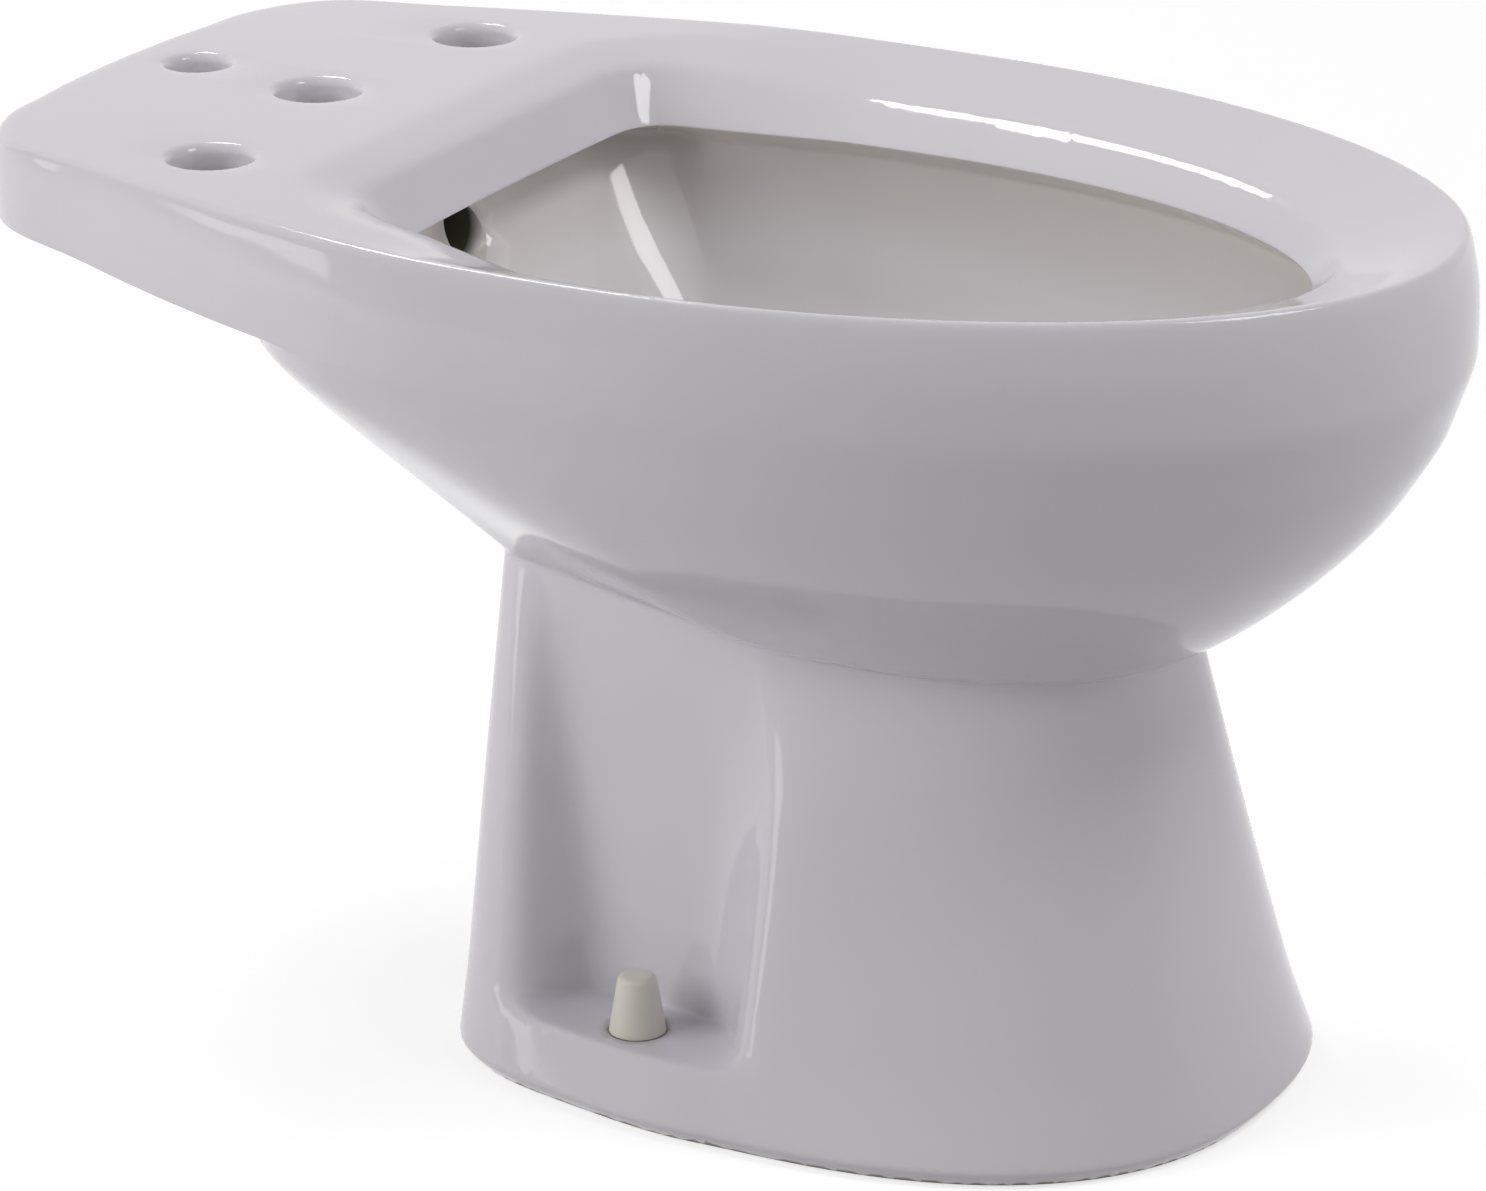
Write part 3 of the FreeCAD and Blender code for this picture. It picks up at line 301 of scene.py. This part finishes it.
# Floor fixings: two T-head bolts of brass stand up through the ledges. Each has a moulded
# retainer for its cap, a zinc-plated washer and a brass nut. The bolts' threads are rolled.
def metal(name, dark, pale, smooth, rough, marks):
    """Worked metal: a tint that varies slightly, and fine marks that follow no one direction."""
    finish = Finish(name, Metallic=1.0)
    finish.tint(finish.noise(waves=120.0, detail=3.0), dark, pale)
    finish.polish(finish.noise(waves=400.0, detail=4.0), smooth, rough)
    finish.relief(finish.noise(waves=marks, detail=3.0), depth=0.0001, strength=0.15)
    return finish.material


def plastic(name, dark, pale, smooth, rough):
    """Moulded plastic: even in colour, with a fine eggshell texture."""
    finish = Finish(name, IOR=1.46, Subsurface_Weight=0.1, Subsurface_Radius=(0.002, 0.002, 0.001))
    finish.tint(finish.noise(waves=70.0, detail=3.0), dark, pale)
    finish.polish(finish.noise(waves=250.0, detail=3.0), smooth, rough)
    finish.relief(finish.noise(waves=1400.0), depth=0.0001, strength=0.3)
    return finish.material


BRASS = metal(
    "brass", dark=(0.66, 0.49, 0.21), pale=(0.76, 0.60, 0.31), smooth=0.22, rough=0.42, marks=900.0)
ZINC = metal(
    "zinc", dark=(0.55, 0.56, 0.58), pale=(0.66, 0.67, 0.69), smooth=0.28, rough=0.45, marks=900.0)
WHITE_PLASTIC = plastic(
    "white_plastic", dark=(0.78, 0.78, 0.76), pale=(0.84, 0.84, 0.82), smooth=0.42, rough=0.58)


def paint(material, *names):
    """Gives solids of the frame their finish."""
    for name in names:
        for place in nodes[name].material_slots:
            place.material = material


paint(BRASS, "floor_bolts", "bolt_nuts")
paint(ZINC, "bolt_washers")
paint(WHITE_PLASTIC, "cap_retainers")
THREAD_STEPS = 32
THREAD_SIDES = 4
RIDGE_SHARE = 0.5
RIDGE_OVERLAP = 1.1


def thread_tree(material):
    """A helix with a ridge swept along it. Its sizes are the tree's own inputs."""
    tree = bpy.data.node_groups.new("thread", "GeometryNodeTree")
    sockets = {}
    for name in ("Radius", "Turns", "Length", "Ridge"):
        socket = tree.interface.new_socket(name, in_out="INPUT", socket_type="NodeSocketFloat")
        sockets[name] = socket.identifier
    tree.interface.new_socket("Mesh", in_out="OUTPUT", socket_type="NodeSocketGeometry")
    given = tree.nodes.new("NodeGroupInput")
    helix = tree.nodes.new("GeometryNodeCurveSpiral")
    helix.inputs["Resolution"].default_value = THREAD_STEPS
    section = tree.nodes.new("GeometryNodeCurvePrimitiveCircle")
    section.inputs["Resolution"].default_value = THREAD_SIDES
    sweep = tree.nodes.new("GeometryNodeCurveToMesh")
    sweep.inputs["Fill Caps"].default_value = True
    whole = tree.nodes.new("GeometryNodeRealizeInstances")
    coloured = tree.nodes.new("GeometryNodeSetMaterial")
    coloured.inputs["Material"].default_value = material
    made = tree.nodes.new("NodeGroupOutput")
    for end in ("Start Radius", "End Radius"):
        tree.links.new(given.outputs["Radius"], helix.inputs[end])
    tree.links.new(given.outputs["Turns"], helix.inputs["Rotations"])
    tree.links.new(given.outputs["Length"], helix.inputs["Height"])
    tree.links.new(given.outputs["Ridge"], section.inputs["Radius"])
    tree.links.new(helix.outputs[0], sweep.inputs["Curve"])
    tree.links.new(section.outputs[0], sweep.inputs["Profile Curve"])
    tree.links.new(sweep.outputs[0], whole.inputs[0])
    tree.links.new(whole.outputs[0], coloured.inputs[0])
    tree.links.new(coloured.outputs[0], made.inputs[0])
    return tree, sockets


def thread(name, material, radius, pitch, length, places):
    """Threads of one size at several places, each a matrix whose Z is the thread's axis."""
    tree, sockets = thread_tree(material)
    maker = bpy.data.objects.new(name + "_maker", bpy.data.meshes.new(name + "_maker"))
    scene.collection.objects.link(maker)
    modifier = maker.modifiers.new("thread", "NODES")
    modifier.node_group = tree
    ridge = RIDGE_SHARE * pitch
    given = {
        "Radius": radius - ridge,
        "Turns": length / pitch,
        "Length": length,
        "Ridge": ridge * RIDGE_OVERLAP,
    }
    for key, value in given.items():
        modifier[sockets[key]] = value
    evaluated = maker.evaluated_get(bpy.context.evaluated_depsgraph_get())
    one = bpy.data.meshes.new_from_object(evaluated)
    bpy.data.objects.remove(maker)
    all_threads = bmesh.new()
    for place in places:
        copy = one.copy()
        copy.transform(place)
        all_threads.from_mesh(copy)
    mesh = bpy.data.meshes.new(name)
    all_threads.to_mesh(mesh)
    all_threads.free()
    mesh.materials.append(material)
    piece = bpy.data.objects.new(name, mesh)
    scene.collection.objects.link(piece)
    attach(piece, "bidet")


def middle_of(node):
    """The middle of a node's box."""
    low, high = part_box(node)
    return Vector(low).lerp(Vector(high), 0.5)


BOLT_RADIUS = 0.0032
BOLT_PITCH = 0.00127
BOLT_THREAD_LENGTH = 0.012
bolt_x = middle_of("bolt_cap_left").x
bolt_y = middle_of("floor_bolts").y
thread_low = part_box("floor_bolts")[1][2] - BOLT_THREAD_LENGTH
bolt_ends = [Matrix.Translation((x, bolt_y, thread_low)) for x in (bolt_x, -bolt_x)]
thread("bolt_threads", BRASS, BOLT_RADIUS, BOLT_PITCH, BOLT_THREAD_LENGTH, bolt_ends)


# Bolt caps: two hollow tapered caps, moulded in ivory plastic and pressed over the bolts' ends.
# They are a little yellower and much less glossy than the glaze.
IVORY = plastic("ivory_plastic", dark=(0.70, 0.67, 0.59), pale=(0.76, 0.73, 0.65), smooth=0.34, rough=0.46)
paint(IVORY, "bolt_cap_left", "bolt_cap_right")


# Pop-up waste: a chromed brass body with a flange in the bowl and a threaded shank under it.
# Rubber seals and a lock nut clamp it to the china, and a slip nut holds the outlet tube.
CHROME = metal(
    "chrome", dark=(0.78, 0.79, 0.81), pale=(0.84, 0.85, 0.87), smooth=0.05, rough=0.14, marks=500.0)


def rubber(name, dark, pale):
    """Moulded black rubber: matte, with a bloom that greys it in places."""
    finish = Finish(name, Specular_IOR_Level=0.35)
    finish.tint(finish.noise(waves=90.0, detail=4.0), dark, pale)
    finish.polish(finish.noise(waves=200.0, detail=3.0), smooth=0.60, rough=0.85)
    finish.relief(finish.noise(waves=1200.0, detail=3.0), depth=0.0001, strength=0.4)
    return finish.material


RUBBER = rubber("rubber", dark=(0.018, 0.018, 0.018), pale=(0.045, 0.044, 0.042))
paint(CHROME, "waste_body", "tailpiece", "slip_nut")
paint(RUBBER, "flange_seal", "under_gasket", "slip_seal")
paint(WHITE_PLASTIC, "friction_washer")
paint(BRASS, "lock_nut")
SHANK_RADIUS = 0.0208
SHANK_PITCH = 0.0022
waste_axis = middle_of("tailpiece")
shank_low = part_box("slip_nut")[1][2]
shank_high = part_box("lock_nut")[0][2]
shank_place = Matrix.Translation((waste_axis.x, waste_axis.y, shank_low))
thread("shank_threads", CHROME, SHANK_RADIUS, SHANK_PITCH, shank_high - shank_low, [shank_place])


# Plug and its lever: a crowned chrome plug over a soft seal, on a moulded stem whose eye is
# lifted by the tip of a chrome rod. The rod turns on a moulded ball that a nut holds in the port.
paint(CHROME, "plug_head", "pivot_rod", "pivot_nut")
paint(RUBBER, "plug_seal")
paint(WHITE_PLASTIC, "plug_stem", "pivot_ball", "pivot_seat")


# Camera: a long lens, a few steps away, that looks down a little on the nose and the left side.
# Its focal length is counted in pixels of a picture that is so many pixels wide.
IMAGE_WIDTH = 1486
FOCAL_PIXELS = 6380.4
SENSOR_WIDTH = 36.0
AZIMUTH = math.radians(-61.119)
ELEVATION = math.radians(20.528)
ROLL = math.radians(-0.243)
DISTANCE = 2.6
TARGET = Vector((0.0019, 0.0046, 0.177))
level_back = Vector((math.sin(AZIMUTH), -math.cos(AZIMUTH), 0.0))
back = level_back * math.cos(ELEVATION) + Vector((0.0, 0.0, math.sin(ELEVATION)))
level = Vector((math.cos(AZIMUTH), math.sin(AZIMUTH), 0.0))
upright = back.cross(level)
right = math.cos(ROLL) * level + math.sin(ROLL) * upright
up = math.cos(ROLL) * upright - math.sin(ROLL) * level
camera = bpy.data.objects.new("camera", bpy.data.cameras.new("camera"))
scene.collection.objects.link(camera)
camera.data.sensor_width = SENSOR_WIDTH
camera.data.lens = FOCAL_PIXELS * SENSOR_WIDTH / IMAGE_WIDTH
turn = Matrix((right, up, back)).transposed().to_4x4()
camera.matrix_world = Matrix.Translation(TARGET + back * DISTANCE) @ turn
scene.camera = camera


# Floor: a pale sheet that looks white away from the object's shadow. Its own glow grows with
# distance, as the lamps' light fades. The glow is seen and mirrored, but lights nothing else.
def backdrop(tree, spread, shown):
    """One colour for light that spreads, and another for the camera, mirrors and glass."""
    kinds = ("Is Camera Ray", "Is Glossy Ray", "Is Transmission Ray")
    camera_ray, mirror_ray, glass_ray = [tree.node("ShaderNodeLightPath", output=kind) for kind in kinds]
    return tree.mix(camera_ray + mirror_ray + glass_ray, spread, shown)


def grey(brightness):
    """A colour without a hue."""
    return (brightness, brightness, brightness)


FLOOR_HALF = 6.0
NEAR_REACH = 0.9
FAR_REACH = 3.0
NEAR_GLOW = grey(0.60)
FAR_GLOW = grey(0.94)
floor_mesh = bpy.data.meshes.new("floor")
corners = [(x * FLOOR_HALF, y * FLOOR_HALF, 0.0) for x, y in ((-1, -1), (1, -1), (1, 1), (-1, 1))]
floor_mesh.from_pydata(corners, [], [(0, 1, 2, 3)])
floor = bpy.data.objects.new("floor", floor_mesh)
scene.collection.objects.link(floor)
pale_floor = Finish("pale_floor", Specular_IOR_Level=0.1, Emission_Strength=1.0)
pale_floor.tint(pale_floor.noise(waves=3.0), grey(0.64), grey(0.66))
pale_floor.polish(pale_floor.noise(waves=50.0), smooth=0.85, rough=0.95)
away = pale_floor.node("ShaderNodeVectorMath", {"operation": "LENGTH"}, {0: pale_floor.place()}, "Value")
glow = pale_floor.mix(pale_floor.span(away, NEAR_REACH, FAR_REACH), NEAR_GLOW, FAR_GLOW)
pale_floor.set("Emission Color", backdrop(pale_floor, grey(0.0), glow))
floor_mesh.materials.append(pale_floor.material)


# Light: the room's own soft light, and five softboxes. The two large ones only fill the
# shadows and aren't mirrored in the glaze. The others give the glaze its highlights.
ROOM_LIGHT = 0.16
scene.world = bpy.data.worlds.new("studio")
studio = Nodes(scene.world)
room = studio.tree.nodes["Background"]
studio.put(room.inputs["Color"], backdrop(studio, grey(ROOM_LIGHT), grey(1.0)))
studio.put(room.inputs["Strength"], 1.0)
LAMPS_AIM = Vector((0.0, 0.0, 0.25))


def softbox(name, direction, distance, size, watts, mirrored=True):
    """A rectangle of light that looks at the bidet from a direction."""
    light = bpy.data.lights.new(name, "AREA")
    light.shape = "RECTANGLE"
    light.size, light.size_y = size
    light.energy = watts
    lamp = bpy.data.objects.new(name, light)
    scene.collection.objects.link(lamp)
    lamp.visible_glossy = mirrored
    towards = Vector(direction).normalized()
    lamp.location = LAMPS_AIM + towards * distance
    lamp.rotation_euler = towards.to_track_quat("Z", "Y").to_euler()


softbox("window", direction=(0.36, 0.50, 0.79), distance=1.6, size=(0.30, 0.50), watts=6.5)
softbox("overhead", direction=(0.0, -0.60, 0.80), distance=1.7, size=(0.6, 0.5), watts=7.5)
softbox("strip", direction=(-0.58, 0.81, 0.03), distance=2.0, size=(0.5, 0.35), watts=1.2)
softbox("left", direction=(-0.67, 0.64, 0.37), distance=2.2, size=(1.8, 1.3), watts=25.0, mirrored=False)
softbox("right", direction=(0.05, -0.92, 0.38), distance=2.2, size=(1.6, 1.0), watts=8.0, mirrored=False)
